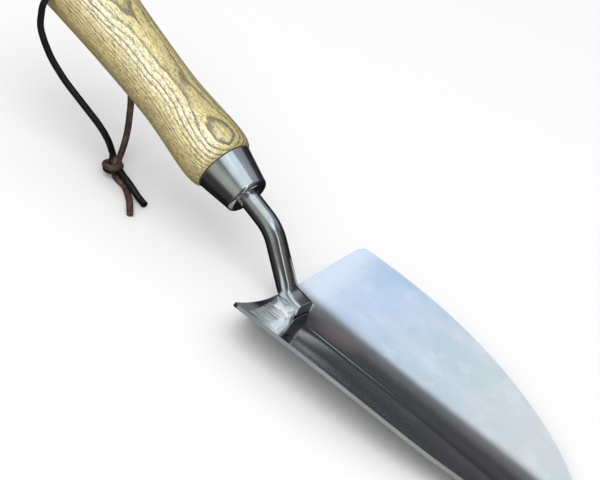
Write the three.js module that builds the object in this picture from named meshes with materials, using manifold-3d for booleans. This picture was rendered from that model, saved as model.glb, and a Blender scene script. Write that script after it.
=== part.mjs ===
// Hand transplanter: a pressed stainless trough blade, a goose-neck shank welded into its heel, a conical ferrule,
// a turned ash handle and a leather hanging thong tied with an overhand knot.
// Millimetres, +X towards the tip, +Y to the left, +Z up. It lies on its back, the blade's flat spine on z = 0.
import * as THREE from 'three';
import Module from 'manifold-3d';
import { mergeVertices } from 'three/addons/utils/BufferGeometryUtils.js';

const wasm = await Module();
wasm.setup();

// ---- Driving dimensions ----------------------------------------------------------------------------------

const gap = 0.3;                  // left between pieces that touch

const blade = {
  heelX: 8.24,                    // x of the two rear corners
  length: 158,                    // rear corners to tip
  width: 79.2,
  depth: 17.2,                    // from the inside of the spine up to the rim, at the heel
  swell: 1,                       // how much deeper it gets along the rear two thirds
  swellLength: 105,
  sheet: 1.6,                     // thickness of the stainless sheet
  spine: 6,                       // width of the flat land along the bottom
  sectionPower: 1.57,             // how fast the sides rise from the flat land
  outlinePower: 2.6,              // where the sides start to close towards the tip
  tipPower: 1.8,                  // how round the tip is
  bow: 8,                         // how far the middle of the rear edge stands behind the corners
  corner: 3,                      // radius of the rear corners
};
const inside = blade.sheet;       // z of the upper side of the spine

const handleTilt = THREE.MathUtils.degToRad(17.5);
const ferruleRim = new THREE.Vector3(blade.heelX - 52.1, 0, inside + 37.5);
const toButt = new THREE.Vector3(-Math.cos(handleTilt), 0, Math.sin(handleTilt));

const ferrule = { rimRadius: 12.8, noseRadius: 9.8, length: 17.5, wall: 1.2, edge: 2.2 };
const spigot = { length: 14 };
const bar = { radius: 4.5, tangRadius: 3.5, tangDepth: 60 };
const foot = { halfWidth: 4.7, endHalfHeight: 2.9, underside: inside + 0.45 };
const cord = { radius: 1.5, holeRadius: 2.6, holeAt: 103 };
const handleLength = 126.2;

// ---- Materials -------------------------------------------------------------------------------------------

const material = (color, roughness, metalness) => new THREE.MeshStandardMaterial({ color, roughness, metalness });
const polishedSteel = material(0xb9c2cb, 0.22, 1);
const brushedSteel = material(0xa9b0b5, 0.35, 1);
const weldMetal = material(0x9aa3a6, 0.45, 1);
const ash = material(0xb6a468, 0.55, 0);
const darkLeather = material(0x2a1c18, 0.6, 0);

// ---- Helpers ---------------------------------------------------------------------------------------------

// A closed solid from rings of equal length, with a flat convex cap at each end.
function skin(rings) {
  const sides = rings[0].length;
  const positions = rings.flat().flatMap((p) => [p.x, p.y, p.z]);
  const index = [];
  for (let i = 0; i + 1 < rings.length; i++) {
    for (let j = 0; j < sides; j++) {
      const a = i * sides + j;
      const b = i * sides + ((j + 1) % sides);
      index.push(a, b, b + sides, a, b + sides, a + sides);
    }
  }
  const last = (rings.length - 1) * sides;
  for (let j = 1; j + 1 < sides; j++) {
    index.push(0, j + 1, j, last, last + j, last + j + 1);
  }
  return bufferFrom(positions, index);
}

function bufferFrom(positions, index) {
  const geometry = new THREE.BufferGeometry();
  geometry.setAttribute('position', new THREE.Float32BufferAttribute(positions, 3));
  geometry.setIndex(index);
  return geometry;
}

// A solid of revolution about the handle's axis. Profile points are (radius, distance behind the ferrule's rim).
function turned(profile, segments) {
  const geometry = new THREE.LatheGeometry(profile, segments);
  const across = new THREE.Vector3(0, 1, 0);
  const frame = new THREE.Matrix4().makeBasis(across, toButt, across.clone().cross(toButt));
  return geometry.applyMatrix4(frame.setPosition(ferruleRim));
}

function toManifold(geometry) {
  const bare = geometry.clone();
  bare.deleteAttribute('normal');
  bare.deleteAttribute('uv');
  const merged = mergeVertices(bare, 1e-4);
  return new wasm.Manifold(new wasm.Mesh({
    numProp: 3,
    vertProperties: new Float32Array(merged.attributes.position.array),
    triVerts: new Uint32Array(merged.index.array),
  }));
}

function fromManifold(solid) {
  const { vertProperties, triVerts } = solid.getMesh();
  return bufferFrom(Array.from(vertProperties), Array.from(triVerts));
}

const cut = (geometry, tool) => fromManifold(toManifold(geometry).subtract(toManifold(tool)));

const smoothstep = (t) => THREE.MathUtils.smoothstep(t, 0, 1);
const onAxis = (behind) => ferruleRim.clone().addScaledVector(toButt, behind);

// ---- Blade -----------------------------------------------------------------------------------------------

// Height of the trough's inside above the flat spine, x ahead of the rear corners, and the slope there.
function troughRise(y, x) {
  const depth = blade.depth + blade.swell * Math.sin(Math.PI * THREE.MathUtils.clamp(x / blade.swellLength, 0, 1));
  const out = Math.max(Math.abs(y) - blade.spine / 2, 0) / ((blade.width - blade.spine) / 2);
  return depth * out ** blade.sectionPower;
}

function troughSlope(y, x) {
  const step = 0.01;
  return (troughRise(y + step, x) - troughRise(y - step, x)) / (2 * step);
}

// How far the rear edge stands ahead of the heel's corners, at v from -1 to 1 across the blade.
function rearEdge(v) {
  const half = blade.width / 2;
  const intoCorner = Math.max(Math.abs(v) * half - (half - blade.corner), 0);
  const rounding = blade.corner - Math.sqrt(blade.corner ** 2 - intoCorner ** 2);
  return rounding - blade.bow * (1 - v * v);
}

function bladeGeometry() {
  const halfAcross = [0.075, 0.17, 0.27, 0.38, 0.5, 0.62, 0.74, 0.86, 0.94, 0.975, 1];
  const across = [...halfAcross.map((v) => -v).reverse(), ...halfAcross];
  const rows = 20;
  const upper = [];
  const under = [];
  for (let i = 0; i <= rows; i++) {
    const turn = THREE.MathUtils.degToRad((88 * i) / rows);
    const along = blade.length * Math.sin(turn) ** (2 / blade.outlinePower);
    const half = (blade.width / 2) * Math.cos(turn) ** (2 / blade.tipPower);
    for (const v of across) {
      const x = blade.heelX + (i === 0 ? rearEdge(v) : along);
      const y = v * half;
      const z = inside + troughRise(y, along);
      const slope = troughSlope(y, along);
      const drop = blade.sheet / Math.hypot(1, slope);
      upper.push(x, y, z);
      under.push(x, y + slope * drop, z - drop);
    }
  }
  return sheetSolid(upper, under, rows + 1, across.length);
}

// Closes two equal grids of points, one above the other, into a solid sheet.
function sheetSolid(upper, under, rows, columns) {
  const count = rows * columns;
  const index = [];
  for (let i = 0; i + 1 < rows; i++) {
    for (let j = 0; j + 1 < columns; j++) {
      const a = i * columns + j;
      const b = a + columns;
      index.push(a, b, b + 1, a, b + 1, a + 1);
      index.push(count + a, count + b + 1, count + b, count + a, count + a + 1, count + b + 1);
    }
  }
  const border = [];
  for (let j = 0; j < columns; j++) border.push(j);
  for (let i = 1; i < rows; i++) border.push(i * columns + columns - 1);
  for (let j = columns - 2; j >= 0; j--) border.push((rows - 1) * columns + j);
  for (let i = rows - 2; i > 0; i--) border.push(i * columns);
  border.forEach((a, k) => {
    const b = border[(k + 1) % border.length];
    index.push(a, b, count + b, a, count + b, count + a);
  });
  return bufferFrom([...upper, ...under], index);
}

// ---- Shank -----------------------------------------------------------------------------------------------

// The bar's centre line in the x-z plane: tang, neck, the steep run, and the foot that lies on the blade.
const neckBend = new THREE.Vector2(blade.heelX - 19.3, inside + 27.1);
const footBend = new THREE.Vector2(blade.heelX - 2.4, inside + 4.9);
const footEnd = new THREE.Vector2(blade.heelX + 7.5, inside + 3.4);
const flat = (p) => new THREE.Vector2(p.x, p.z);
const between = (from, to, distance) => from.clone().addScaledVector(to.clone().sub(from).normalize(), distance);

function shankStations() {
  const shoulder = flat(onAxis(-spigot.length - 0.6));
  const neckIn = between(neckBend, shoulder, 6);
  const neckOut = between(neckBend, footBend, 6);
  const footIn = between(footBend, neckBend, 4.5);
  const footOut = between(footBend, footEnd, 4.5);
  const curves = [
    [new THREE.LineCurve(shoulder, neckIn), 2],
    [new THREE.QuadraticBezierCurve(neckIn, neckBend, neckOut), 8],
    [new THREE.LineCurve(neckOut, footIn), 3],
    [new THREE.QuadraticBezierCurve(footIn, footBend, footOut), 8],
    [new THREE.LineCurve(footOut, footEnd), 3],
  ];
  const stations = [];
  for (const [curve, steps] of curves) {
    for (let k = 0; k <= steps; k++) {
      if (k === 0 && stations.length) continue;
      stations.push({ at: curve.getPoint(k / steps), along: curve.getTangent(k / steps) });
    }
  }
  return stations;
}

// One section of the bar: round on the neck, and squarer and flatter as flatness goes from 0 to 1.
function barRing(at, along, radius, flatness) {
  const sides = 20;
  const halfWidth = THREE.MathUtils.lerp(radius, foot.halfWidth, flatness);
  const halfHeight = THREE.MathUtils.lerp(radius, foot.endHalfHeight, flatness);
  const power = THREE.MathUtils.lerp(1, 0.45, flatness);
  const up = new THREE.Vector3(-along.y, 0, along.x);
  const ring = [];
  for (let j = 0; j < sides; j++) {
    const angle = (2 * Math.PI * j) / sides;
    const c = Math.cos(angle);
    const s = Math.sin(angle);
    const point = new THREE.Vector3(at.x, halfWidth * Math.sign(c) * Math.abs(c) ** power, at.y);
    ring.push(point.addScaledVector(up, halfHeight * Math.sign(s) * Math.abs(s) ** power));
  }
  return ring;
}

function shankGeometry() {
  const forward = new THREE.Vector2(-toButt.x, -toButt.z);
  const tang = [
    [bar.tangDepth, 2.4],
    [bar.tangDepth - 3, bar.tangRadius],
    [-spigot.length - 0.3, bar.tangRadius],
  ];
  const rings = tang.map(([behind, radius]) => barRing(flat(onAxis(behind)), forward, radius, 0));
  for (const { at, along } of shankStations()) {
    const intoFoot = smoothstep((at.x - footBend.x + 6) / (footEnd.x - footBend.x + 3));
    rings.push(barRing(at, along, bar.radius, intoFoot));
  }
  const below = new THREE.BoxGeometry(60, 40, 20);
  below.translate(blade.heelX, 0, foot.underside - 10);
  return cut(skin(rings), below);
}

// A weld fillet along one side of the foot; side is -1 or 1.
function weldGeometry(side) {
  const length = 12;
  const inner = foot.halfWidth + 0.35;
  const section = new THREE.Shape();
  section.moveTo(inner, inside + 0.55);
  section.lineTo(inner, inside + 4.6);
  section.quadraticCurveTo(inner + 1.2, inside + 2.2, inner + 4, inside + 1.75);
  section.lineTo(inner + 4, inside + 1.4);
  section.closePath();
  const geometry = new THREE.ExtrudeGeometry(section, { depth: length, bevelEnabled: false, curveSegments: 5 });
  const axes = new THREE.Matrix4().makeBasis(
    new THREE.Vector3(0, side, 0),
    new THREE.Vector3(0, 0, 1),
    new THREE.Vector3(side, 0, 0),
  );
  geometry.applyMatrix4(axes);
  geometry.translate(blade.heelX + 0.9 - (side * length) / 2, 0, 0);
  return geometry;
}

// ---- Ferrule and handle ----------------------------------------------------------------------------------

const coneRadius = (behind) => ferrule.rimRadius
  + ((ferrule.rimRadius - ferrule.noseRadius) * behind) / ferrule.length;

function ferruleGeometry() {
  const nose = -ferrule.length;
  const innerNose = nose + 1.5;
  const hole = bar.radius + gap;
  const profile = [new THREE.Vector2(hole, innerNose), new THREE.Vector2(hole, nose)];
  for (let k = 0; k <= 5; k++) {
    const turn = (Math.PI / 2) * (k / 5);
    profile.push(new THREE.Vector2(
      coneRadius(nose) - ferrule.edge * (1 - Math.sin(turn)),
      nose + ferrule.edge * (1 - Math.cos(turn)),
    ));
  }
  profile.push(new THREE.Vector2(ferrule.rimRadius, 0));
  profile.push(new THREE.Vector2(ferrule.rimRadius - ferrule.wall, 0));
  profile.push(new THREE.Vector2(coneRadius(innerNose) - ferrule.wall, innerNose));
  profile.push(profile[0].clone());
  return turned(profile, 36);
}

// The handle's outside behind the ferrule: shoulder, front swell, waist, and the bulb at the butt.
const handleOutline = new THREE.SplineCurve([
  new THREE.Vector2(13.1, gap),
  new THREE.Vector2(14.2, 2.2),
  new THREE.Vector2(14.9, 6),
  new THREE.Vector2(14.9, 13),
  new THREE.Vector2(14.1, 24),
  new THREE.Vector2(13.4, 37),
  new THREE.Vector2(13.7, 52),
  new THREE.Vector2(14.7, 74),
  new THREE.Vector2(16.2, 96),
  new THREE.Vector2(17.1, 109),
  new THREE.Vector2(16.7, 117),
  new THREE.Vector2(14.3, 122.6),
  new THREE.Vector2(9, 125.4),
  new THREE.Vector2(4.5, 126),
]);

function handleGeometry() {
  const bore = bar.tangRadius + gap;
  const inner = ferrule.wall + gap;
  const profile = [
    new THREE.Vector2(0, bar.tangDepth + 1),
    new THREE.Vector2(bore, bar.tangDepth + 1),
    new THREE.Vector2(bore, -spigot.length),
    new THREE.Vector2(coneRadius(-spigot.length) - inner, -spigot.length),
    new THREE.Vector2(coneRadius(gap) - inner, gap),
    ...handleOutline.getPoints(40),
    new THREE.Vector2(0, handleLength),
  ];
  const drill = new THREE.CylinderGeometry(cord.holeRadius, cord.holeRadius, 60, 20);
  drill.translate(onAxis(cord.holeAt).x, 0, onAxis(cord.holeAt).z);
  return cut(turned(profile, 36), drill);
}

// ---- Leather thong ---------------------------------------------------------------------------------------

const knot = { x: -98.5, y: -3.2, radius: 4.5, halfLength: 3.2, flatten: 0.8, heading: THREE.MathUtils.degToRad(-37.7) };

// Routes are points that the thong's centre line passes through, from the handle's hole or the knot outwards.
const rightLeg = [
  [-142.2, -0.2, 70.1], [-142.2, -9, 70.1], [-142.2, -16.5, 70.1], [-142.2, -19.6, 69.2], [-142.4, -21.2, 66],
  [-142.3, -21.2, 60.5], [-141.8, -20.5, 54.7], [-140, -19.5, 50.1], [-137.5, -18, 45.2], [-134.4, -16.5, 40.7],
  [-131.2, -15, 37.1], [-126.9, -13.5, 33.4], [-122.3, -12, 30.2], [-115, -9.5, 25.2], [-108.5, -7, 20.3],
  [-105.6, -4.2, 15.4], [-104.8, -1.6, 11], [-104.1, -0.2, 7.9], [-103.2, 0.2, 6.2], [-101.8, -0.8, 5.3],
];
const leftLeg = [
  [-142.2, 0.2, 70.1], [-142.2, 9, 70.1], [-142.2, 16.5, 70.1], [-142.2, 19.8, 69.2], [-142, 21.8, 66],
  [-140.6, 22.2, 60], [-137.2, 22, 53.8], [-132.6, 21.2, 47.8], [-127.6, 20, 42.2], [-122.2, 18, 37],
  [-116.6, 15.6, 32], [-113, 14, 27.8], [-110.8, 13.2, 23.2], [-109.6, 12.8, 18.4], [-108.2, 12, 14],
  [-106.4, 10.2, 10.4], [-104.4, 7.6, 7.4], [-102.5, 4.7, 4.8], [-101.1, 2.5, 3.7], [-99.95, 1.6, 3.3],
];
const straightTail = [
  [-94.1, -3.6, 4.6], [-92, -4.6, 4.9], [-89.6, -5.5, 4.9], [-86.6, -6.3, 4.9], [-83.6, -6.9, 4.5], [-80.2, -6.9, 3],
  [-77.2, -6.8, 1.8], [-73.3, -7.4, 1.5],
];
const bentTail = [
  [-94.65, -4.8, 1.5], [-92.6, -5.3, 1.5], [-90.3, -5.6, 1.5], [-88, -5.9, 1.5], [-85.2, -7.2, 1.5],
  [-82, -9.2, 1.5], [-78.9, -11.3, 1.5], [-75.6, -14.2, 1.5], [-71.5, -17.9, 1.5],
];

function thongGeometry(route, steps) {
  const path = new THREE.CatmullRomCurve3(route.map(([x, y, z]) => new THREE.Vector3(x, y, z)));
  const sides = 8;
  const section = new THREE.Shape();
  for (let j = 0; j < sides; j++) {
    const angle = (2 * Math.PI * j) / sides;
    const x = cord.radius * Math.cos(angle);
    const y = cord.radius * Math.sin(angle);
    if (j === 0) section.moveTo(x, y);
    else section.lineTo(x, y);
  }
  section.closePath();
  return new THREE.ExtrudeGeometry(section, { steps, extrudePath: path, bevelEnabled: false });
}

function knotGeometry() {
  const profile = [
    new THREE.Vector2(0, -knot.halfLength),
    new THREE.Vector2(3.6, -knot.halfLength),
    new THREE.Vector2(knot.radius, -knot.halfLength / 3),
    new THREE.Vector2(knot.radius, knot.halfLength / 3),
    new THREE.Vector2(3.6, knot.halfLength),
    new THREE.Vector2(0, knot.halfLength),
  ];
  const geometry = new THREE.LatheGeometry(profile, 16);
  geometry.rotateZ(knot.heading - Math.PI / 2);
  geometry.scale(1, 1, knot.flatten);
  return geometry.translate(knot.x, knot.y, knot.radius * knot.flatten);
}

// ---- Assembly --------------------------------------------------------------------------------------------

const group = new THREE.Group();

function add(name, geometry, finish) {
  const mesh = new THREE.Mesh(geometry, finish);
  mesh.name = name;
  group.add(mesh);
}

add('blade', bladeGeometry(), polishedSteel);
add('shank', shankGeometry(), brushedSteel);
add('weld_right', weldGeometry(-1), weldMetal);
add('weld_left', weldGeometry(1), weldMetal);
add('ferrule', ferruleGeometry(), polishedSteel);
add('handle', handleGeometry(), ash);
add('thong_right_leg', thongGeometry(rightLeg, 30), darkLeather);
add('thong_left_leg', thongGeometry(leftLeg, 30), darkLeather);
add('thong_knot', knotGeometry(), darkLeather);
add('thong_straight_tail', thongGeometry(straightTail, 8), darkLeather);
add('thong_bent_tail', thongGeometry(bentTail, 8), darkLeather);

export default group;
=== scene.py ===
"""Looks of the hand transplanter: studio, camera, leather thong, steel parts and the ash handle."""
import math

import bpy
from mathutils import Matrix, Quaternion, Vector


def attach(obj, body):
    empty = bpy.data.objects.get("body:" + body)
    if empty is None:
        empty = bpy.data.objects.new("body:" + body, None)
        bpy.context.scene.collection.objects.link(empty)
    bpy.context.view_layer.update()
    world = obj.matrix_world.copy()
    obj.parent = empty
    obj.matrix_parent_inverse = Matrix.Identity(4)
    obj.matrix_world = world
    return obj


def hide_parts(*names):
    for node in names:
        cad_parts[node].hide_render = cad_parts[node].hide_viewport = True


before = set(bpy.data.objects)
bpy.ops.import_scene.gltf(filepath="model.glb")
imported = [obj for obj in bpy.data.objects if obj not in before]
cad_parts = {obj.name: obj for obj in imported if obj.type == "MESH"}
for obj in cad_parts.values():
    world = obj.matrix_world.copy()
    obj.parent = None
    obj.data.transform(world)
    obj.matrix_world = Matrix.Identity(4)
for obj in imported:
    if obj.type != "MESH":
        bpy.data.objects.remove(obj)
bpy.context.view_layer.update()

# Driving dimensions in millimetres, the same as the solids'. ---------------------------------------------

HEEL_X = 8.24                   # x of the blade's two rear corners
BLADE_LENGTH = 158.0            # rear corners to tip
BLADE_WIDTH = 79.2
BLADE_DEPTH = 17.2              # from the inside of the spine up to the rim, at the heel
BLADE_SWELL = 1.0               # how much deeper it gets along the rear two thirds
SWELL_LENGTH = 105.0
SHEET = 1.6
SPINE = 6.0                     # width of the flat land along the bottom
SECTION_POWER = 1.57            # how the flanks rise from the flat land to the rim
OUTLINE_POWER = 2.6             # how long the sides stay wide
TIP_POWER = 1.8                 # how blunt the tip is
REAR_BOW = 8.0                  # how far the middle of the rear edge stands behind the corners
CORNER = 3.0
INSIDE = SHEET                  # z of the upper side of the spine

TILT = math.radians(17.5)       # of the handle's axis
RIM = Vector((HEEL_X - 52.1, 0, INSIDE + 37.5))
TO_BUTT = Vector((-math.cos(TILT), 0, math.sin(TILT)))
ACROSS = Vector((0, 1, 0))

RIM_RADIUS = 12.8               # the ferrule's wide end
NOSE_RADIUS = 9.8
FERRULE_LENGTH = 17.5
FERRULE_WALL = 1.2
FERRULE_EDGE = 2.2              # radius of its front edge
SPIGOT = 14.0                   # length of the handle inside the ferrule
GAP = 0.3                       # between pieces that touch

BAR_RADIUS = 4.5
TANG_RADIUS = 3.5
TANG_DEPTH = 60.0
NECK_BEND = Vector((HEEL_X - 19.3, INSIDE + 27.1))      # (x, z), and so for the next two
FOOT_BEND = Vector((HEEL_X - 2.4, INSIDE + 4.9))
FOOT_END = Vector((HEEL_X + 7.5, INSIDE + 3.4))
FOOT_HALF_WIDTH = 4.7
FOOT_HALF_HEIGHT = 2.9
FOOT_UNDERSIDE = INSIDE + 0.45
FOOT_REAR = HEEL_X - 12.0       # where the bar's flat underside starts
WELD_LENGTH = 12.0
WELD_MIDDLE = 0.9               # ahead of the heel's corners
WELD_REACH = 4.3                # out from the foot

HANDLE_LENGTH = 126.2
HANDLE_OUTLINE = [              # (radius, distance behind the ferrule's rim)
    (13.1, GAP), (14.2, 2.2), (14.9, 6), (14.9, 13), (14.1, 24), (13.4, 37), (13.7, 52), (14.7, 74),
    (16.2, 96), (17.1, 109), (16.7, 117), (14.3, 122.6), (9, 125.4), (4.5, 126),
]
HOLE_RADIUS = 2.6
HOLE_AT = 103.0
LACE_RADIUS = 1.5
KNOT_LACE_RADIUS = 1.4          # squeezed a little


def lerp(a, b, t):
    return a + (b - a) * t


def smoothstep(t):
    t = min(max(t, 0), 1)
    return t * t * (3 - 2 * t)


def signed_power(value, power):
    return math.copysign(abs(value) ** power, value)


def srgb(red, green, blue):
    """A colour given as 0 to 255 display values, as the linear colour that a shader takes."""
    channels = [c / 255 for c in (red, green, blue)]
    return (*[c / 12.92 if c <= 0.04045 else ((c + 0.055) / 1.055) ** 2.4 for c in channels], 1)


# Node trees ----------------------------------------------------------------------------------------------


class Nodes:
    """Adds shader nodes; an input is a number, a colour or another node's output."""

    def __init__(self, tree):
        self.tree = tree
        tree.nodes.clear()

    def add(self, kind, inputs=(), **settings):
        node = self.tree.nodes.new("ShaderNode" + kind)
        for name, value in settings.items():
            setattr(node, name, value)
        for name, value in dict(inputs).items():
            if isinstance(value, bpy.types.NodeSocket):
                self.tree.links.new(value, node.inputs[name])
            else:
                node.inputs[name].default_value = value
        return node

    def math(self, operation, first, second=0.0, third=0.0):
        node = self.add("Math", {0: first, 1: second, 2: third}, operation=operation)
        return node.outputs[0]

    def vector(self, operation, first, second=(0, 0, 0), output="Vector"):
        node = self.add("VectorMath", {0: first, 1: second}, operation=operation)
        return node.outputs[output]

    def object_mm(self):
        """Object coordinates in millimetres."""
        return self.vector("MULTIPLY", self.add("TexCoord").outputs["Object"], (1000, 1000, 1000))

    def handle_mm(self):
        """Upwards, across and lengthwise position on the handle in millimetres, from the ferrule's rim."""
        at = self.vector("SUBTRACT", self.object_mm(), RIM)
        axes = (ACROSS.cross(TO_BUTT), ACROSS, TO_BUTT)
        return [self.vector("DOT_PRODUCT", at, axis, "Value") for axis in axes]

    def split(self, vector):
        return self.add("SeparateXYZ", {0: vector}).outputs[:3]

    def join(self, x, y, z):
        return self.add("CombineXYZ", {0: x, 1: y, 2: z}).outputs[0]

    def noise(self, vector, scale, detail=2.0, roughness=0.5):
        inputs = {"Vector": vector, "Scale": scale, "Detail": detail, "Roughness": roughness}
        return self.add("TexNoise", inputs).outputs[0]

    def step(self, value, low, high):
        """0 below low, 1 above high, smooth between."""
        inputs = {"Value": value, "From Min": low, "From Max": high, "To Min": 0.0, "To Max": 1.0}
        return self.add("MapRange", inputs, interpolation_type="SMOOTHSTEP").outputs[0]

    def ramp(self, value, stops):
        """A colour ramp through (position, grey or colour) stops."""
        node = self.add("ValToRGB", {0: value})
        elements = node.color_ramp.elements
        while len(elements) < len(stops):
            elements.new(0.5)
        for element, (position, colour) in zip(elements, stops):
            element.position = position
            element.color = colour if hasattr(colour, "__len__") else (colour, colour, colour, 1)
        return node.outputs[0]

    def mix(self, factor, first, second):
        node = self.add("Mix", {0: factor, 6: first, 7: second}, data_type="RGBA")
        return node.outputs[2]

    def bump(self, height, distance, strength):
        return self.add("Bump", {"Height": height, "Distance": distance, "Strength": strength}).outputs[0]

    def surface(self, **inputs):
        named = {name.replace("_", " "): value for name, value in inputs.items()}
        shader = self.add("BsdfPrincipled", named)
        self.add("OutputMaterial", {"Surface": shader.outputs[0]})


def new_material(name):
    material = bpy.data.materials.new(name)
    material.use_nodes = True
    return material, Nodes(material.node_tree)


# Studio --------------------------------------------------------------------------------------------------


def make_camera():
    data = bpy.data.cameras.new("camera")
    data.lens = 180
    data.sensor_width = 36
    data.clip_end = 50
    camera = bpy.data.objects.new("camera", data)
    bpy.context.scene.collection.objects.link(camera)
    gaze = Vector((-0.4626, 0.6845, -0.5635))
    roll = Quaternion((0, 0, 1), math.radians(17.08))
    camera.location = (0.5729, -0.8427, 0.7265)
    camera.rotation_mode = "QUATERNION"
    camera.rotation_quaternion = gaze.to_track_quat("-Z", "Y") @ roll
    bpy.context.scene.camera = camera


SOFTBOX = (-0.045, -0.255, 0.966)
SOFTBOX_EDGE = (0.768, 0.836)   # cosines of where its edge starts and where it is full
CEILING = [                     # colour from opposite the softbox, 0, round to its middle, 1
    (0.20, (0.012, 0.011, 0.012, 1)),
    (0.40, (0.016, 0.015, 0.018, 1)),
    (0.52, (0.036, 0.036, 0.041, 1)),
    (0.70, (0.060, 0.063, 0.070, 1)),
    (0.80, (0.105, 0.106, 0.114, 1)),
    (0.878, (0.175, 0.180, 0.190, 1)),
]
FILLS = [                       # (direction, cosine at the edge, cosine at full strength, colour)
    ((-0.03, -0.97, 0.24), 0.86, 0.985, (0.19, 0.21, 0.18, 1)),
    ((-0.03, -0.95, 0.31), 0.965, 0.995, (0.04, 0.07, 0.02, 1)),
    ((0.16, 0.62, 0.77), 0.90, 0.98, (0.18, 0.19, 0.22, 1)),
    ((0.90, 0.05, 0.43), 0.80, 1.0, (0.09, 0.09, 0.09, 1)),
    ((0.35, -0.93, -0.10), 0.82, 0.98, (0.12, 0.11, 0.10, 1)),
    ((-0.48, -0.70, 0.52), 0.93, 0.995, (0.17, 0.18, 0.18, 1)),
    ((-0.15, -0.85, -0.50), 0.75, 0.98, (0.03, 0.03, 0.03, 1)),
    ((-0.47, 0.80, -0.38), 0.93, 0.99, (0.14, 0.14, 0.15, 1)),
    ((0.20, -0.10, -1.0), 0.80, 0.97, (0.30, 0.30, 0.31, 1)),
]


def make_world():
    """An even white dome; glossy surfaces mirror a dark studio with a softbox, fills and a strip light."""
    world = bpy.data.worlds.new("studio")
    world.use_nodes = True
    bpy.context.scene.world = world
    n = Nodes(world.node_tree)
    direction = n.vector("NORMALIZE", n.add("TexCoord").outputs["Generated"])
    x, y, _ = n.split(direction)

    def towards(axis):
        return n.vector("DOT_PRODUCT", direction, Vector(axis).normalized(), "Value")

    def lit(total, amount, colour):
        return n.add("Mix", {0: amount, 6: total, 7: colour}, data_type="RGBA", blend_type="ADD").outputs[2]

    # The softbox is dimmer towards its front edge and bluer at the handle's end.
    studio = n.ramp(n.math("MULTIPLY_ADD", towards(SOFTBOX), 0.5, 0.5), CEILING)
    panel = n.step(towards(SOFTBOX), *SOFTBOX_EDGE)
    panel = n.math("MULTIPLY", panel, n.math("MULTIPLY_ADD", n.step(y, -0.78, -0.48), 0.7, 0.3))
    panel_colour = n.mix(n.step(x, -0.48, -0.38), (0.41, 0.58, 0.83, 1), (0.56, 0.65, 0.69, 1))
    studio = lit(studio, panel, panel_colour)
    for axis, edge, full, colour in FILLS:
        studio = lit(studio, n.step(towards(axis), edge, full), colour)

    # The strip light runs up the tip's side of the studio.
    strip = n.step(n.math("ABSOLUTE", n.math("ADD", y, 0.27)), 0.11, 0.04)
    strip = n.math("MULTIPLY", strip, n.step(x, 0.25, 0.5))
    studio = lit(studio, strip, (0.75, 0.80, 0.80, 1))

    path = n.add("LightPath").outputs
    seen = n.mix(path["Is Glossy Ray"], (0.74, 0.74, 0.75, 1), studio)
    seen = n.mix(path["Is Camera Ray"], seen, (0.93, 0.93, 0.94, 1))
    background = n.add("Background", {"Color": seen, "Strength": 1.0})
    n.add("OutputWorld", {"Surface": background.outputs[0]})


def area_light(name, direction, distance, size, power, colour=(1, 1, 1), only=()):
    """A soft round light on the pieces in only, or else on everything, and then not mirrored."""
    data = bpy.data.lights.new(name, "AREA")
    data.shape = "DISK"
    data.size = size
    data.energy = power
    data.color = colour
    light = bpy.data.objects.new(name, data)
    bpy.context.scene.collection.objects.link(light)
    back = Vector(direction).normalized()
    light.location = back * distance
    light.rotation_mode = "QUATERNION"
    light.rotation_quaternion = (-back).to_track_quat("-Z", "Y")
    if only:
        receivers = bpy.data.collections.new(name + "_receivers")
        for piece in only:
            receivers.objects.link(piece)
        light.light_linking.receiver_collection = receivers
    else:
        light.visible_glossy = False


def make_floor():
    mesh = bpy.data.meshes.new("floor")
    mesh.from_pydata([(-4, -4, 0), (4, -4, 0), (4, 4, 0), (-4, 4, 0)], [], [(0, 1, 2, 3)])
    floor = bpy.data.objects.new("floor", mesh)
    bpy.context.scene.collection.objects.link(floor)
    material, n = new_material("floor_paper")
    n.surface(Base_Color=(0.93, 0.93, 0.93, 1), Roughness=0.9, Specular_IOR_Level=0.1)
    mesh.materials.append(material)
    floor.visible_glossy = False


# Pieces --------------------------------------------------------------------------------------------------


def place(obj, node, slot, *materials):
    """Puts a piece in the scene in place of a solid, riding on the part's one body."""
    for material in materials:
        obj.data.materials.append(material)
    bpy.context.scene.collection.objects.link(obj)
    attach(obj, "root")
    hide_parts(node)
    return obj


def smooth_object(name, vertices, faces, sharp=40):
    """A smooth-shaded mesh object from millimetre points."""
    mesh = bpy.data.meshes.new(name)
    mesh.from_pydata([tuple(c / 1000 for c in v) for v in vertices], [], faces)
    mesh.polygons.foreach_set("use_smooth", [True] * len(mesh.polygons))
    mesh.set_sharp_from_angle(angle=math.radians(sharp))
    return bpy.data.objects.new(name, mesh)


def skin(rings):
    """Points and faces of a closed skin over rings of equal length, with a cap at each end."""
    sides = len(rings[0])
    faces = [tuple(reversed(range(sides)))]
    for i in range(len(rings) - 1):
        for j in range(sides):
            a, b = i * sides + j, i * sides + (j + 1) % sides
            faces.append((a, b, b + sides, a + sides))
    last = (len(rings) - 1) * sides
    faces.append(tuple(range(last, last + sides)))
    return [p for ring in rings for p in ring], faces


def round_edges(obj, width, segments=2, angle=50):
    bevel = obj.modifiers.new("edges", "BEVEL")
    bevel.width = width / 1000
    bevel.segments = segments
    bevel.limit_method = "ANGLE"
    bevel.angle_limit = math.radians(angle)


def turned(profile, segments, centre=RIM, axis=TO_BUTT, across=ACROSS):
    """Rings of a solid turned about an axis, from (radius, distance along the axis) points."""
    up = across.cross(axis)
    rings = []
    for radius, along in profile:
        middle = centre + axis * along
        turns = [2 * math.pi * k / segments for k in range(segments)]
        rings.append([middle + (up * math.cos(t) + across * math.sin(t)) * radius for t in turns])
    return rings


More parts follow.
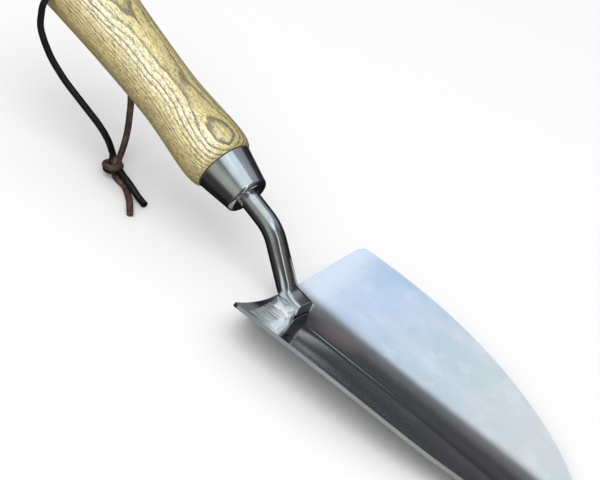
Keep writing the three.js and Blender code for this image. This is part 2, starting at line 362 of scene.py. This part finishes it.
def catmull_rom(points, per_span):
    """Points of a smooth curve through every given point."""
    points = [Vector(p) for p in points]
    line = []
    for i in range(len(points) - 1):
        before = points[max(i - 1, 0)]
        a, b = points[i], points[i + 1]
        after = points[min(i + 2, len(points) - 1)]
        for k in range(per_span):
            t = k / per_span
            line.append(0.5 * (2 * a + (b - before) * t + (2 * before - 5 * a + 4 * b - after) * t * t
                               + (3 * a - before - 3 * b + after) * t ** 3))
    line.append(points[-1])
    return line


# Leather thong -------------------------------------------------------------------------------------------

KNOT = Vector((-0.0976, -0.0046, 0.0047))
THROUGH_KNOT = Vector((0.279, 0.056, -0.959))       # the way the two strands pass through it
BESIDE_KNOT = Vector((0.699, 0.672, 0.243))         # across it, square to that

RIGHT_LEG = [
    (-0.1422, -0.0002, 0.0701), (-0.1422, -0.0090, 0.0701), (-0.1422, -0.0165, 0.0701),
    (-0.1422, -0.0196, 0.0692), (-0.1424, -0.0212, 0.0660), (-0.1423, -0.0212, 0.0605),
    (-0.1418, -0.0205, 0.0547), (-0.1400, -0.0195, 0.0501), (-0.1375, -0.0180, 0.0452),
    (-0.1344, -0.0165, 0.0407), (-0.1312, -0.0150, 0.0371), (-0.1269, -0.0135, 0.0334),
    (-0.1223, -0.0120, 0.0302), (-0.1150, -0.0095, 0.0252), (-0.1085, -0.0070, 0.0203),
    (-0.1056, -0.0042, 0.0154), (-0.1048, -0.0016, 0.0110), (-0.1041, -0.0002, 0.0079),
    (-0.1032, 0.0002, 0.0062), (-0.1018, -0.0008, 0.0053),
]
LEFT_LEG = [
    (-0.1422, 0.0002, 0.0701), (-0.1422, 0.0090, 0.0701), (-0.1422, 0.0165, 0.0701),
    (-0.1422, 0.0198, 0.0692), (-0.1420, 0.0218, 0.0660), (-0.1406, 0.0222, 0.0600),
    (-0.1372, 0.0220, 0.0538), (-0.1326, 0.0212, 0.0478), (-0.1276, 0.0200, 0.0422),
    (-0.1222, 0.0180, 0.0370), (-0.1166, 0.0156, 0.0320), (-0.1130, 0.0140, 0.0278),
    (-0.1108, 0.0132, 0.0232), (-0.1096, 0.0128, 0.0184), (-0.1082, 0.0120, 0.0140),
    (-0.1064, 0.0102, 0.0104), (-0.1044, 0.0076, 0.0074), (-0.1025, 0.0047, 0.0048),
    (-0.1011, 0.0025, 0.0037), (-0.09995, 0.0016, 0.0033),
]
STRAIGHT_TAIL = [
    (-0.0941, -0.0036, 0.0046), (-0.0920, -0.0046, 0.0049), (-0.0896, -0.0055, 0.0049),
    (-0.0866, -0.0063, 0.0049), (-0.0836, -0.0069, 0.0045), (-0.0802, -0.0069, 0.0030),
    (-0.0772, -0.0068, 0.0018), (-0.0733, -0.0074, 0.0015),
]
BENT_TAIL = [
    (-0.09465, -0.0048, 0.0015), (-0.0926, -0.0053, 0.0015), (-0.0903, -0.0056, 0.0015),
    (-0.0880, -0.0059, 0.0015), (-0.0852, -0.0072, 0.0015), (-0.0820, -0.0092, 0.0015),
    (-0.0789, -0.0113, 0.0015), (-0.0756, -0.0142, 0.0015), (-0.0715, -0.0179, 0.0015),
]


def leather(name, dark, light):
    """Round dyed lace: a waxy skin with fine lengthwise creases, and lighter spots that are partly scuffs
    and partly painted highlight.
    """
    material, n = new_material(name)
    at = n.object_mm()
    mottle = n.noise(at, 0.35, 4.0, 0.6)
    scuff_and_highlight = n.step(n.noise(at, 1.6, 5.0, 0.7), 0.56, 0.74)
    colour = n.mix(n.step(mottle, 0.35, 0.7), dark, light)
    # Partly scuffs, partly painted highlight: lighter spots in the grey-brown of the leather's highlights.
    colour = n.mix(n.math("MULTIPLY", scuff_and_highlight, 0.35), colour, srgb(150, 130, 120))
    grain = n.noise(at, 3.2, 6.0, 0.65)
    n.surface(
        Base_Color=colour,
        Roughness=n.math("MULTIPLY_ADD", grain, 0.25, 0.22),
        Specular_IOR_Level=0.7,
        Normal=n.bump(grain, 0.00025, 0.7),
    )
    return material


def lace(name, splines, radius=LACE_RADIUS):
    """A curve object of one or more open round laces through points in metres."""
    curve = bpy.data.curves.new(name, "CURVE")
    curve.dimensions = "3D"
    curve.bevel_depth = radius / 1000
    curve.bevel_resolution = 6
    curve.resolution_u = 8
    curve.use_fill_caps = True
    for points in splines:
        spline = curve.splines.new("BEZIER")
        spline.bezier_points.add(len(points) - 1)
        for bezier, point in zip(spline.bezier_points, points):
            bezier.co = point
            bezier.handle_left_type = bezier.handle_right_type = "AUTO"
    return bpy.data.objects.new(name, curve)


def knot_object(brown, black):
    """An overhand knot: a brown turn, and under it a black turn of painted shade, round the two strands
    that pass down through them.
    """
    front = THROUGH_KNOT.cross(BESIDE_KNOT)

    def at(down, beside, forward):
        return KNOT + (THROUGH_KNOT * down + BESIDE_KNOT * beside + front * forward) / 1000

    def wrapped(down, half_width, half_depth):
        turns = [math.radians(-90 + 18 * k) for k in range(21)]
        return [at(down + 0.5 * math.cos(turn), half_width * math.cos(turn), half_depth * math.sin(turn))
                for turn in turns]

    brown_strand = [
        LEFT_LEG[-1], at(-1.2, 2.0, -4.6), at(-2.3, 1.4, -2.8), at(-0.8, 0.6, -0.6), at(2.2, 0.4, 0.5),
        BENT_TAIL[0],
    ]
    painted_shade_strand = [
        RIGHT_LEG[-1], at(-2.6, -0.4, -3.2), at(-0.9, -0.3, -0.8), at(1.2, 1.0, 0.2), at(1.9, 2.2, 0.9),
        STRAIGHT_TAIL[0],
    ]
    # The second, black turn is a dark ring put under the brown turn as painted shade; the strand from the
    # right leg is painted black as shade too.
    strands = [wrapped(-0.8, 3.35, 3.0), brown_strand, wrapped(0.9, 3.1, 2.7), painted_shade_strand]
    knot = lace("thong_overhand_knot", strands, KNOT_LACE_RADIUS)
    for knot_material in (brown, black):
        knot.data.materials.append(knot_material)
    shade_splines = knot.data.splines[2:]
    for spline in shade_splines:
        spline.material_index = 1
    return knot


def make_thong():
    # The black leather is a painted-shade copy of the brown lace: one lace, painted near-black as shade on
    # the right leg, the straight tail and the knot's lower turn.
    black = leather("thong_leather_painted_shade", srgb(6, 4, 5), srgb(17, 12, 13))
    brown = leather("thong_brown_leather", srgb(60, 42, 38), srgb(104, 78, 68))
    slot = "thong_leather"
    right = place(lace("thong_right", [RIGHT_LEG]), "thong_right_leg", slot, black)
    left = place(lace("thong_left", [LEFT_LEG]), "thong_left_leg", slot, brown)
    knot = place(knot_object(brown, black), "thong_knot", slot)
    straight = place(lace("thong_end_straight", [STRAIGHT_TAIL]), "thong_straight_tail", slot, black)
    bent = place(lace("thong_end_bent", [BENT_TAIL]), "thong_bent_tail", slot, brown)


# Blade ---------------------------------------------------------------------------------------------------


def trough_depth(x):
    """Depth of the trough x ahead of the heel's corners: it swells a little along the rear two thirds."""
    return BLADE_DEPTH + BLADE_SWELL * math.sin(math.pi * min(max(x / SWELL_LENGTH, 0), 1))


def trough_rise(y, x=0):
    out = max(abs(y) - SPINE / 2, 0) / ((BLADE_WIDTH - SPINE) / 2)
    return trough_depth(x) * out ** SECTION_POWER


def trough_slope(y, x):
    return (trough_rise(y + 0.01, x) - trough_rise(y - 0.01, x)) / 0.02


def rear_edge(v):
    half = BLADE_WIDTH / 2
    into_corner = max(abs(v) * half - (half - CORNER), 0)
    return CORNER - math.sqrt(CORNER ** 2 - into_corner ** 2) - REAR_BOW * (1 - v * v)


def blade_rows():
    """(x, half width, share of the rear edge's shape) of each row of points, from the heel to the tip."""
    first_turn, last_turn = 4.4, 88.8

    def reach(degrees):
        return BLADE_LENGTH * math.sin(math.radians(degrees)) ** (2 / OUTLINE_POWER)

    rows = [(reach(first_turn) * k / 16, 1 - k / 16) for k in range(16)]
    rows += [(reach(lerp(first_turn, last_turn, k / 110)), 0) for k in range(111)]
    return [(x, (BLADE_WIDTH / 2) * (1 - (x / BLADE_LENGTH) ** OUTLINE_POWER) ** (1 / TIP_POWER), share)
            for x, share in rows]


def blade_object():
    across = [math.sin(math.radians(90 * k / 48)) for k in range(-48, 49)]
    upper, under = [], []
    for x, half, share in blade_rows():
        for v in across:
            y = v * half
            z = INSIDE + trough_rise(y, x)
            slope = trough_slope(y, x)
            drop = SHEET / math.hypot(1, slope)
            here = HEEL_X + x + share * rear_edge(v)
            upper.append((here, y, z))
            under.append((here, y + slope * drop, z - drop))
    columns = len(across)
    rows = len(upper) // columns
    count = len(upper)
    faces = []
    for i in range(rows - 1):
        for j in range(columns - 1):
            a, b = i * columns + j, (i + 1) * columns + j
            faces.append((a, b, b + 1, a + 1))
            faces.append((count + a, count + a + 1, count + b + 1, count + b))
    border = [*range(columns - 1), *range(columns - 1, count - 1, columns),
              *range(count - 1, count - columns, -1), *range(count - columns, 0, -columns)]
    for a, b in zip(border, border[1:] + border[:1]):
        faces.append((a, b, count + b, count + a))
    obj = smooth_object("blade_sheet", upper + under, faces)
    round_edges(obj, 0.35, 3)
    return obj


def ground_steel(n, x, y):
    """(colour, metallic, relief) of steel ground lengthwise with a coarse wheel, around the weld."""
    grinding = n.noise(n.join(n.math("MULTIPLY", x, 0.07), n.math("MULTIPLY", y, 0.85), 7.0), 1.0, 4.0, 0.7)
    streak = n.step(grinding, 0.40, 0.62)
    colour = n.mix(streak, (0.36, 0.42, 0.46, 1), (0.98, 1.0, 1.0, 1))
    return colour, n.math("MULTIPLY_ADD", streak, -0.30, 0.72), grinding


def polished_sheet():
    """Polished stainless sheet: brushing, painted reflections and highlight streaks in its colour, a fold
    line, heat tint and a ground patch by the weld.
    """
    material, n = new_material("polished_stainless_sheet")
    at = n.object_mm()
    x, y, _ = n.split(at)
    x = n.math("SUBTRACT", x, HEEL_X)

    # Lengthwise brushing, and soft differences of colour in the polish, partly painted reflection.
    brushing = n.noise(n.join(n.math("MULTIPLY", x, 0.03), n.math("MULTIPLY", y, 2.4), 0.0), 1.0, 4.0, 0.7)
    cloud = n.noise(n.join(n.math("MULTIPLY", x, 0.035), n.math("MULTIPLY", y, 0.06), 3.0), 1.0, 4.0, 0.55)
    tone_mottle = n.noise(n.join(n.math("MULTIPLY", x, 0.022), n.math("MULTIPLY", y, 0.11), 9.0), 1.0, 5.0, 0.6)
    # Partly the polish's own tone, partly painted reflection: pale and bluish clouds of mirrored light in
    # the sheet's colour.
    tint = n.mix(n.step(tone_mottle, 0.36, 0.64), (0.735, 0.785, 0.81, 1), (0.86, 0.845, 0.87, 1))
    reflection_patches = n.noise(n.join(n.math("MULTIPLY", x, 0.07), n.math("MULTIPLY", y, 0.12), 5.0), 1.0, 4.0, 0.6)
    # Painted reflection: towards the tip the colour turns warmer.
    tint = n.mix(n.math("MULTIPLY", n.step(x, 60.0, 120.0), 0.7), tint, (0.87, 0.83, 0.81, 1))
    # Painted reflection: near-white patches of mirrored light in the colour.
    tint = n.mix(n.math("MULTIPLY", n.step(reflection_patches, 0.48, 0.68), 0.6), tint, (0.96, 0.93, 0.93, 1))
    # Painted highlight: towards the rear edge the colour whitens, where the edge glows.
    tint = n.mix(n.step(x, 13.0, 0.0), tint, (0.94, 0.93, 0.93, 1))
    # Painted highlight: near-white streaks along the brushing, in patches.
    highlight_streaks = n.math("MULTIPLY", n.step(brushing, 0.56, 0.68), n.step(n.noise(at, 0.05, 2.0), 0.48, 0.62))
    tint = n.mix(n.math("MULTIPLY", highlight_streaks, 0.75), tint, (0.97, 0.97, 0.98, 1))

    # The ground patch is on top of the right flank, between two curves, and ends short of the rim.
    facing = n.split(n.add("NewGeometry").outputs["Normal"])[2]
    out = n.math("DIVIDE", n.math("ABSOLUTE", y), 34.0)
    start = n.math("MULTIPLY_ADD", n.math("POWER", out, 1.5), 10.8, -6.3)
    end = n.math("MULTIPLY_ADD", n.math("POWER", out, 2.0), 11.3, 4.5)
    ragged = n.math("MULTIPLY_ADD", n.noise(at, 0.5, 3.0), 2.4, -1.2)
    beyond_start = n.math("ADD", n.math("SUBTRACT", x, start), ragged)
    before_end = n.math("ADD", n.math("SUBTRACT", end, x), ragged)
    band = n.math("MULTIPLY", n.step(beyond_start, -0.6, 0.9), n.step(before_end, -0.4, 1.2))
    band = n.math("MULTIPLY", band, n.step(n.math("MULTIPLY", y, -1.0), 3.0, 4.5))
    band = n.math("MULTIPLY", band, n.step(n.math("ADD", y, ragged), -35.0, -32.5))
    band = n.math("MULTIPLY", band, n.step(facing, 0.68, 0.76))
    ground, ground_metallic, grinding = ground_steel(n, x, y)

    # The fold runs along the spine's right side; the heat tint lies ahead of the foot.
    fold = n.step(n.math("ABSOLUTE", n.math("ADD", y, 3.6)), 0.30, 0.08)
    fold = n.math("MULTIPLY", fold, n.math("MULTIPLY", n.step(x, 13.0, 20.0), n.step(x, 75.0, 26.0)))
    spot = n.join(n.math("SUBTRACT", x, 25.0), n.math("SUBTRACT", y, 2.4), 0.0)
    spot = n.vector("MULTIPLY", spot, (0.07, 0.2, 0.0))
    heat = n.step(n.vector("LENGTH", spot, output="Value"), 1.1, 0.2)
    heat = n.math("MULTIPLY", heat, n.step(tone_mottle, 0.3, 0.6))

    tint = n.mix(n.math("MULTIPLY", heat, 0.5), tint, (0.62, 0.42, 0.32, 1))
    tint = n.mix(band, tint, ground)
    metallic = n.math("SUBTRACT", 1.0, n.math("MULTIPLY", band, n.math("SUBTRACT", 1.0, ground_metallic)))
    metallic = n.math("SUBTRACT", metallic, n.math("MULTIPLY", heat, 0.10))

    # The left flank is hazed near the rear edge.
    haze = n.math("MULTIPLY", n.step(x, 21.0, 0.0), n.step(y, 6.0, 16.0))
    haze = n.math("MULTIPLY", haze, n.math("MULTIPLY_ADD", n.step(brushing, 0.42, 0.62), 0.5, 0.5))
    metallic = n.math("SUBTRACT", metallic, n.math("MULTIPLY", haze, 0.42))
    metallic = n.math("SUBTRACT", metallic, n.math("MULTIPLY", fold, 0.4))

    rough = n.math("MULTIPLY_ADD", cloud, 0.10, 0.04)
    rough = n.math("MULTIPLY_ADD", brushing, 0.05, rough)
    rough = n.math("ADD", rough, n.math("MULTIPLY", band, 0.28))
    rough = n.math("ADD", rough, n.math("MULTIPLY", fold, 0.25))
    relief = n.math("MULTIPLY_ADD", n.math("MULTIPLY", grinding, band), 12.0, brushing)
    n.surface(
        Base_Color=tint,
        Metallic=metallic,
        Roughness=rough,
        Normal=n.bump(relief, 0.00001, 0.4),
    )
    return material


# Shank and welds -----------------------------------------------------------------------------------------


def on_axis(behind):
    point = RIM + TO_BUTT * behind
    return Vector((point.x, point.z))


def shank_stations():
    """(point, direction) of the bar's centre line in the x-z plane, from inside the ferrule to the foot."""
    shoulder = on_axis(-SPIGOT - 0.6)

    def towards(start, goal, distance):
        return start + (goal - start).normalized() * distance

    neck = [towards(NECK_BEND, shoulder, 6), NECK_BEND, towards(NECK_BEND, FOOT_BEND, 6)]
    foot = [towards(FOOT_BEND, NECK_BEND, 4.5), FOOT_BEND, towards(FOOT_BEND, FOOT_END, 4.5)]
    stations = [(shoulder, (neck[0] - shoulder).normalized())]
    for a, b, c in (neck, foot):
        for k in range(25):
            t = k / 24
            point = a * (1 - t) ** 2 + b * (2 * t * (1 - t)) + c * t * t
            stations.append((point, ((b - a) * (1 - t) + (c - b) * t).normalized()))
    for k in range(1, 7):
        stations.append((foot[2].lerp(FOOT_END, k / 6), (FOOT_END - foot[2]).normalized()))
    return stations


def bar_ring(at, along, radius, flatness, sides=56):
    half_width = lerp(radius, FOOT_HALF_WIDTH, flatness)
    half_height = lerp(radius, FOOT_HALF_HEIGHT, flatness)
    power = lerp(1, 0.45, flatness)
    ring = []
    for k in range(sides):
        turn = 2 * math.pi * k / sides
        across = half_width * signed_power(math.cos(turn), power)
        up = half_height * signed_power(math.sin(turn), power)
        z = at.y + along.x * up
        if at.x > FOOT_REAR:
            z = max(z, FOOT_UNDERSIDE)
        ring.append((at.x - along.y * up, across, z))
    return ring


def shank_object():
    inwards = Vector((-TO_BUTT.x, -TO_BUTT.z))
    tang = ((TANG_DEPTH, 2.4), (TANG_DEPTH - 3, TANG_RADIUS), (-SPIGOT - 0.3, TANG_RADIUS))
    rings = [bar_ring(on_axis(behind), inwards, radius, 0) for behind, radius in tang]
    for at, along in shank_stations():
        flatness = smoothstep((at.x - FOOT_BEND.x + 6) / (FOOT_END.x - FOOT_BEND.x + 3))
        rings.append(bar_ring(at, along, BAR_RADIUS, flatness))
    obj = smooth_object("shank_bar", *skin(rings))
    round_edges(obj, 0.5, 3)
    return obj


def drawn_bar():
    """Satin drawn bar with polishing lines along it, a few dark handling marks, and darker, rougher faces
    towards the tip at its end.
    """
    material, n = new_material("drawn_stainless_bar")
    at = n.object_mm()
    marks = n.noise(at, 0.25, 4.0, 0.6)
    fine = n.noise(at, 2.5, 4.0, 0.7)
    # Faces turned towards the tip, the bar's end among them, are darker and rougher.
    end_facing_tip = n.step(n.split(n.add("NewGeometry").outputs["Normal"])[0], 0.75, 0.93)
    colour = n.mix(n.step(marks, 0.4, 0.7), (0.70, 0.71, 0.71, 1), (0.80, 0.81, 0.80, 1))
    rough = n.math("MULTIPLY_ADD", fine, 0.08, 0.07)
    n.surface(
        Base_Color=n.mix(end_facing_tip, colour, (0.16, 0.16, 0.17, 1)),
        Metallic=1.0,
        Roughness=n.math("MULTIPLY_ADD", end_facing_tip, 0.35, rough),
        Normal=n.bump(fine, 0.00002, 0.4),
    )
    return material


def weld_object(name, side):
    """A fillet along one side of the foot, ground nearly smooth, with faint ripples left in it."""
    inner = FOOT_HALF_WIDTH + 0.05
    rings = []
    for i in range(49):
        along = lerp(-WELD_LENGTH / 2, WELD_LENGTH / 2, i / 48)
        fullness = max(1 - abs(2 * along / WELD_LENGTH) ** 5, 0.02) ** 0.4
        ripple = 0.04 * math.sin(along * 3.1) + 0.03 * math.sin(along * 7.3 + side)
        reach = WELD_REACH * fullness
        ring = [(inner, INSIDE + 0.3), (inner, INSIDE + 0.6 + 4.0 * fullness)]
        for k in range(1, 13):
            t = k / 12
            height = 0.1 + 4.4 * fullness * (1 - t) ** 2.1 + ripple * math.sin(math.pi * t)
            ring.append((inner + reach * t, INSIDE + height + trough_rise(inner + reach * t)))
        ring.append((inner + reach, INSIDE + 0.05 + trough_rise(inner + reach)))
        if side > 0:
            ring.reverse()
        rings.append([(HEEL_X + WELD_MIDDLE + along, side * y, z) for y, z in ring])
    return smooth_object(name, *skin(rings), sharp=60)


def weld_metal():
    """The weld, ground together with the sheet beside it, with small pits."""
    material, n = new_material("ground_weld")
    at = n.object_mm()
    x, y, z = n.split(at)
    colour, metallic, grinding = ground_steel(n, n.math("SUBTRACT", x, HEEL_X), n.math("SUBTRACT", y, z))
    pits = n.step(n.noise(at, 1.3, 3.0, 0.6), 0.64, 0.78)
    n.surface(
        Base_Color=n.mix(n.math("MULTIPLY", pits, 0.5), colour, (0.25, 0.25, 0.26, 1)),
        Metallic=metallic,
        Roughness=0.3,
        Normal=n.bump(n.math("SUBTRACT", grinding, pits), 0.0001, 0.8),
    )
    return material


# Ferrule and handle --------------------------------------------------------------------------------------


def cone_radius(behind):
    return RIM_RADIUS + (RIM_RADIUS - NOSE_RADIUS) * behind / FERRULE_LENGTH


def ferrule_object():
    nose = -FERRULE_LENGTH
    hole = BAR_RADIUS + 0.15
    front_wall = 1.5
    sides = 144
    profile = [(hole, nose + front_wall), (hole, nose)]
    for k in range(13):
        turn = math.pi / 2 * k / 12
        profile.append((cone_radius(nose) - FERRULE_EDGE * (1 - math.sin(turn)),
                        nose + FERRULE_EDGE * (1 - math.cos(turn))))
    profile += [(RIM_RADIUS, 0), (RIM_RADIUS - FERRULE_WALL, 0),
                (cone_radius(nose + front_wall) - FERRULE_WALL, nose + front_wall)]
    rings = turned(profile, sides)
    vertices = [p for ring in rings for p in ring]
    faces = []
    for i in range(len(rings)):
        this = i * sides
        following = (i + 1) % len(rings) * sides
        for j in range(sides):
            beside = (j + 1) % sides
            faces.append((this + j, this + beside, following + beside, following + j))
    obj = smooth_object("ferrule_cap", vertices, faces)
    round_edges(obj, 0.25, 2)
    return obj


def polished_ferrule():
    """Spun and polished steel with faint turning lines around it."""
    material, n = new_material("polished_ferrule_steel")
    at = n.object_mm()
    z = n.handle_mm()[2]
    turning = n.noise(n.join(0.0, 0.0, n.math("MULTIPLY", z, 3.0)), 1.0, 3.0, 0.7)
    tone_mottle = n.noise(at, 0.16, 3.0, 0.5)
    n.surface(
        Base_Color=n.mix(n.step(tone_mottle, 0.35, 0.7), (0.74, 0.77, 0.78, 1), (0.83, 0.84, 0.86, 1)),
        Metallic=1.0,
        Roughness=n.math("MULTIPLY_ADD", turning, 0.08, 0.06),
        Normal=n.bump(turning, 0.00002, 0.35),
    )
    return material


def handle_object():
    inner = FERRULE_WALL + GAP
    outline = [(p.x, p.y) for p in catmull_rom([(r, s, 0) for r, s in HANDLE_OUTLINE], 8)]
    spigot = [(0.5, -SPIGOT), (cone_radius(-SPIGOT) - inner, -SPIGOT), (cone_radius(GAP) - inner, GAP)]
    profile = [*spigot, *outline, (0.5, HANDLE_LENGTH)]
    obj = smooth_object("handle_turned", *skin(turned(profile, 128)), sharp=45)
    bore = turned([(HOLE_RADIUS, -30), (HOLE_RADIUS, 30)], 32, RIM + TO_BUTT * HOLE_AT, ACROSS, TO_BUTT)
    drill = smooth_object("drill", *skin(bore))
    for each in (obj, drill):
        bpy.context.scene.collection.objects.link(each)
    cut = obj.modifiers.new("thong_hole", "BOOLEAN")
    cut.operation = "DIFFERENCE"
    cut.object = drill
    evaluated = obj.evaluated_get(bpy.context.evaluated_depsgraph_get())
    mesh = bpy.data.meshes.new_from_object(evaluated)
    mesh.name = "handle_turned"
    obj.modifiers.clear()
    obj.data = mesh
    mesh.set_sharp_from_angle(angle=math.radians(45))
    bpy.data.objects.remove(drill)
    bpy.context.scene.collection.objects.unlink(obj)
    return obj


PITH = (-74.4, 9.1, 0.0)        # the middle of the rings, from the handle's axis
RING_START = 0.45
RING_WIDTH = 1.35
EARLY_WOOD = [                  # how dark the wood is, from one ring's start to the next
    (0.0, 0.12), (0.08, 1.0), (0.24, 0.88), (0.41, 0.28), (0.62, 0.06), (0.92, 0.0), (1.0, 0.12),
]


def ash_wood():
    """Oiled ash: rings nearly flat to the top, with rows of open pores and fine fibre."""
    material, n = new_material("oiled_ash")
    x, y, z = n.handle_mm()

    def stretched(scale, along):
        scales = (scale, scale, along)
        return n.join(*[n.math("MULTIPLY", part, factor) for part, factor in zip((x, y, z), scales)])

    wander = n.noise(stretched(0.05, 0.022), 1.0, 3.0, 0.5)
    ripple = n.noise(stretched(0.35, 0.03), 1.0, 2.0, 0.5)
    out = n.vector("DISTANCE", n.join(x, y, 0.0), PITH, "Value")
    out = n.math("MULTIPLY_ADD", wander, 5.0, out)
    out = n.math("MULTIPLY_ADD", ripple, 0.7, out)
    rings = n.math("DIVIDE", n.math("SUBTRACT", out, RING_START), RING_WIDTH)
    ring = n.math("FRACT", rings)
    strength = n.noise(n.join(n.math("FLOOR", rings), 0.0, n.math("MULTIPLY", z, 0.01)), 0.7, 2.0)
    early = n.ramp(ring, EARLY_WOOD)
    early = n.math("MULTIPLY", early, n.step(strength, 0.2, 0.55))
    fibre = n.noise(stretched(1.7, 0.08), 1.0, 5.0, 0.8)
    fleck = n.noise(stretched(1.8, 0.32), 1.0, 4.0, 0.8)
    pores = n.step(n.noise(stretched(2.1, 0.5), 1.0, 3.0, 0.7), 0.52, 0.60)
    broad = n.noise(stretched(0.09, 0.012), 1.0, 2.0)
    # Painted shade: the underside, nearest the rings' middle, is darker and more olive.
    underside_shade = n.step(out, 88.5, 74.0)
    colour = n.mix(broad, srgb(208, 194, 126), srgb(194, 176, 98))
    colour = n.mix(underside_shade, colour, srgb(172, 150, 70))
    colour = n.mix(n.math("MULTIPLY", n.step(fibre, 0.47, 0.60), 0.6), colour, srgb(120, 102, 48))
    colour = n.mix(n.math("MULTIPLY", n.step(fleck, 0.50, 0.62), 0.45), colour, srgb(226, 217, 168))
    colour = n.mix(n.math("MULTIPLY", early, 0.92), colour, srgb(92, 76, 34))
    open_pores = n.math("MULTIPLY", pores, n.math("MULTIPLY_ADD", early, 0.50, 0.50))
    colour = n.mix(open_pores, colour, srgb(52, 41, 18))
    dull = n.math("MULTIPLY", n.math("MAXIMUM", pores, early), 0.3)
    relief = n.math("MULTIPLY_ADD", early, -0.6, n.math("MULTIPLY", pores, -1.0))
    relief = n.math("MULTIPLY_ADD", fibre, 0.6, relief)
    n.surface(
        Base_Color=colour,
        Roughness=n.math("ADD", dull, 0.46),
        Specular_IOR_Level=1.0,
        Coat_Weight=1.0,
        Coat_IOR=1.8,
        Coat_Roughness=n.math("ADD", dull, 0.38),
        Normal=n.bump(relief, 0.00012, 0.8),
    )
    return material


# Scene ---------------------------------------------------------------------------------------------------

make_camera()
make_thong()
make_world()
make_floor()
area_light("key", (0.10, -0.45, 0.90), 1.6, 1.8, 14)
bpy.context.scene.view_settings.view_transform = "Standard"

place(blade_object(), "blade", "polished_steel", polished_sheet())
place(shank_object(), "shank", "shank_steel", drawn_bar())
weld = weld_metal()
place(weld_object("weld_bead_right", -1), "weld_right", "weld_metal", weld)
place(weld_object("weld_bead_left", 1), "weld_left", "weld_metal", weld)
place(ferrule_object(), "ferrule", "ferrule_steel", polished_ferrule())
handle = place(handle_object(), "handle", "ash_wood", ash_wood())
area_light("wood_sheen", (-0.04, -0.70, 0.71), 1.6, 1.9, 27, (0.92, 0.97, 1.17), [handle])
